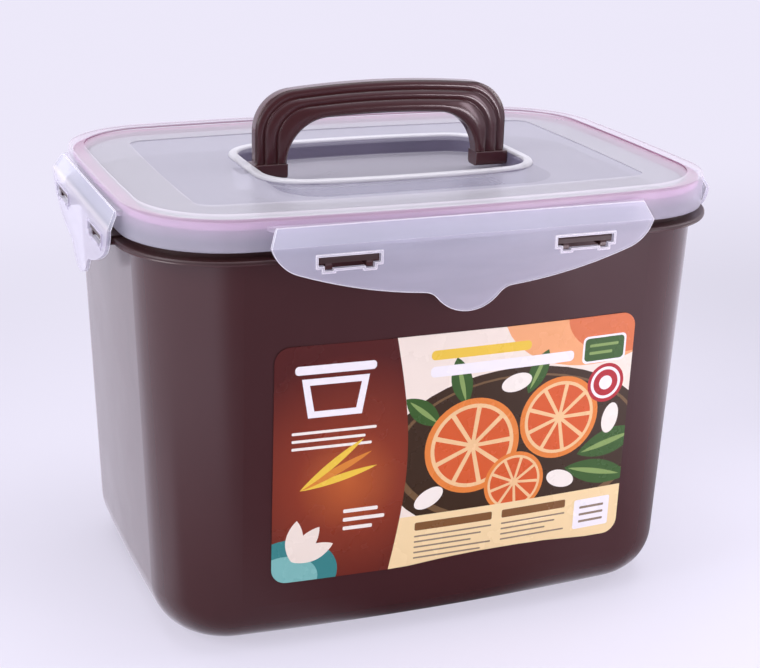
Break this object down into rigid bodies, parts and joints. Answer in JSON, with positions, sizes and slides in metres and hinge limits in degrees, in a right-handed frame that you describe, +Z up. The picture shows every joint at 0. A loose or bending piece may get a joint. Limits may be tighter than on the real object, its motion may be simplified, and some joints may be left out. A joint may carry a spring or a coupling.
{
  "type": "airtight food container",
  "caption": "Tapered plastic storage tub with a sealed lid held by hinged locking flaps, with a folding carry handle in the lid and a printed front label.",
  "frame": {"origin": "centre of the container's footprint on the table, on the base plane", "axes": "+X along the long side, to the right seen from the front; front faces -Y; +Z up"},
  "size_m": [0.2868, 0.2116, 0.2372],
  "materials": {
    "tub_plastic": "glossy dark brown polypropylene",
    "lid_plastic": "frosted translucent polypropylene, satin",
    "seal_rubber": "soft silicone",
    "handle_plastic": "glossy dark brown plastic",
    "label_print": "glossy printed film"
  },
  "bodies": {
    "container": {"tub": "tub_plastic", "lid": "lid_plastic", "seal": "seal_rubber", "label": "label_print"},
    "front_flap": {"front_flap": "lid_plastic"},
    "right_flap": {"right_flap": "lid_plastic"},
    "back_flap": {"back_flap": "lid_plastic"},
    "left_flap": {"left_flap": "lid_plastic"},
    "handle": {"handle": "handle_plastic"}
  },
  "joints": [
    {"name": "front_flap_hinge", "type": "hinge", "parent": "container", "child": "front_flap", "pos_m": [0, -0.10035, 0.1986], "axis": [-1, 0, 0], "range_deg": [0, 140]},
    {"name": "right_flap_hinge", "type": "hinge", "parent": "container", "child": "right_flap", "pos_m": [0.13795, 0, 0.1986], "axis": [0, -1, 0], "range_deg": [0, 140]},
    {"name": "back_flap_hinge", "type": "hinge", "parent": "container", "child": "back_flap", "pos_m": [0, 0.10035, 0.1986], "axis": [1, 0, 0], "range_deg": [0, 140]},
    {"name": "left_flap_hinge", "type": "hinge", "parent": "container", "child": "left_flap", "pos_m": [-0.13795, 0, 0.1986], "axis": [0, 1, 0], "range_deg": [0, 140]},
    {"name": "handle_hinge", "type": "hinge", "parent": "container", "child": "handle", "pos_m": [0, 0, 0.1986], "axis": [1, 0, 0], "range_deg": [-90, 90]}
  ]
}
